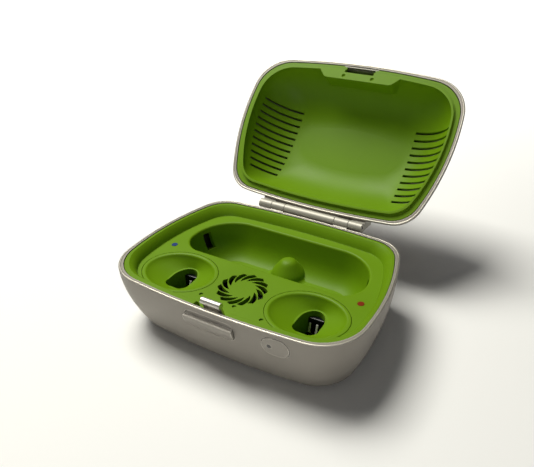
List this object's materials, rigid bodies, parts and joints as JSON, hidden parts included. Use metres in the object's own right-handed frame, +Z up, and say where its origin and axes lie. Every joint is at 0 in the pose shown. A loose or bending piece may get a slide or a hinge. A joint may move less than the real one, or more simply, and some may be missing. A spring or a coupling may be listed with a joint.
{
  "type": "hearing aid dryer",
  "caption": "Clamshell hearing aid dryer with dished charging pockets, a swirl grille over a fan, a rear trough, a vented hinged lid, a press latch and a power button.",
  "frame": {"origin": "on the underside of the rubber pad, below the middle of the case", "axes": "+Z up, the front with the latch and the power button towards -Y, the hinge and the open lid towards +Y, +X to the right as seen from the front"},
  "size_m": [0.1108, 0.1428, 0.0854],
  "materials": {
    "champagne_shell": "fine satin, champagne grey",
    "champagne_button": "fine satin, champagne grey",
    "green_liner": "satin green",
    "green_cup": "satin green",
    "black_block": "gloss black",
    "contact_metal": "bright plated",
    "blue_dot": "satin blue",
    "red_dot": "satin red",
    "grey_rubber": "matt grey",
    "screw_steel": "plated steel",
    "black_fan": "matt black",
    "motor_steel": "turned steel",
    "white_duct": "matt white, heat resistant",
    "fin_aluminium": "plain",
    "heater_ceramic": null,
    "circuit_board": "solder mask green",
    "black_chip": "matt black",
    "clear_lens": "smoked, glossy",
    "ballast_steel": "plain steel plate",
    "lead_jacket": "smooth red jacket",
    "pin_steel": "ground steel",
    "spring_steel": "rolled strip",
    "hinge_metal": "satin nickel",
    "hook_metal": "bright nickel",
    "catch_steel": "dark plated"
  },
  "bodies": {
    "case": {"base_shell": "champagne_shell", "base_pad": "grey_rubber", "case_screws": "screw_steel", "base_liner": "green_liner", "left_charging_cup": "green_cup", "right_charging_cup": "green_cup", "left_contact_block": "black_block", "right_contact_block": "black_block", "left_contacts": "contact_metal", "right_contacts": "contact_metal", "left_marker": "blue_dot", "right_marker": "red_dot", "fan_frame": "black_fan", "fan_motor": "motor_steel", "fan_screws": "screw_steel", "air_duct": "white_duct", "heater_fins": "fin_aluminium", "ptc_heater": "heater_ceramic", "main_board": "circuit_board", "board_screws": "screw_steel", "controller_chip": "black_chip", "ballast_plate": "ballast_steel", "usb_socket": "screw_steel", "fan_lead": "lead_jacket", "button_lead": "lead_jacket", "button_board": "circuit_board", "power_switch": "black_chip", "indicator_led": "clear_lens", "hook_pin": "pin_steel", "latch_spring": "spring_steel", "base_hinge": "hinge_metal", "hinge_pin": "pin_steel"},
    "lid": {"lid_shell": "champagne_shell", "lid_liner": "green_liner", "lid_catch": "catch_steel", "lid_hinge": "hinge_metal"},
    "latch_button": {"latch_button": "champagne_button"},
    "latch_hook": {"latch_hook": "hook_metal"},
    "power_button": {"power_button": "champagne_button", "indicator_lens": "clear_lens"},
    "fan_impeller": {"fan_impeller": "black_fan"}
  },
  "joints": [
    {"name": "lid_hinge_pivot", "type": "hinge", "parent": "case", "child": "lid", "pos_m": [0, 0.0414, 0.0292], "axis": [1, 0, 0], "range_deg": [0, 135]},
    {"name": "latch_press", "type": "slide", "parent": "case", "child": "latch_button", "axis": [0, 1, 0], "range_m": [0, 0.0007], "stiffness_N_per_m": 2500, "springref_m": -0.0004},
    {"name": "latch_hook_pivot", "type": "hinge", "parent": "case", "child": "latch_hook", "pos_m": [0, -0.0322, 0.0125], "axis": [-1, 0, 0], "range_deg": [0, 4.6]},
    {"name": "power_press", "type": "slide", "parent": "case", "child": "power_button", "axis": [0, 1, 0], "range_m": [0, 0.0004], "stiffness_N_per_m": 3000, "springref_m": -0.0003},
    {"name": "fan_spin", "type": "hinge", "parent": "case", "child": "fan_impeller", "pos_m": [0, -0.0156, 0.0199], "axis": [0, 0, 1], "continuous": true}
  ],
  "couplings": [
    {"joint": "latch_hook_pivot", "follows": "latch_press", "rad_per_m": 112.36}
  ]
}
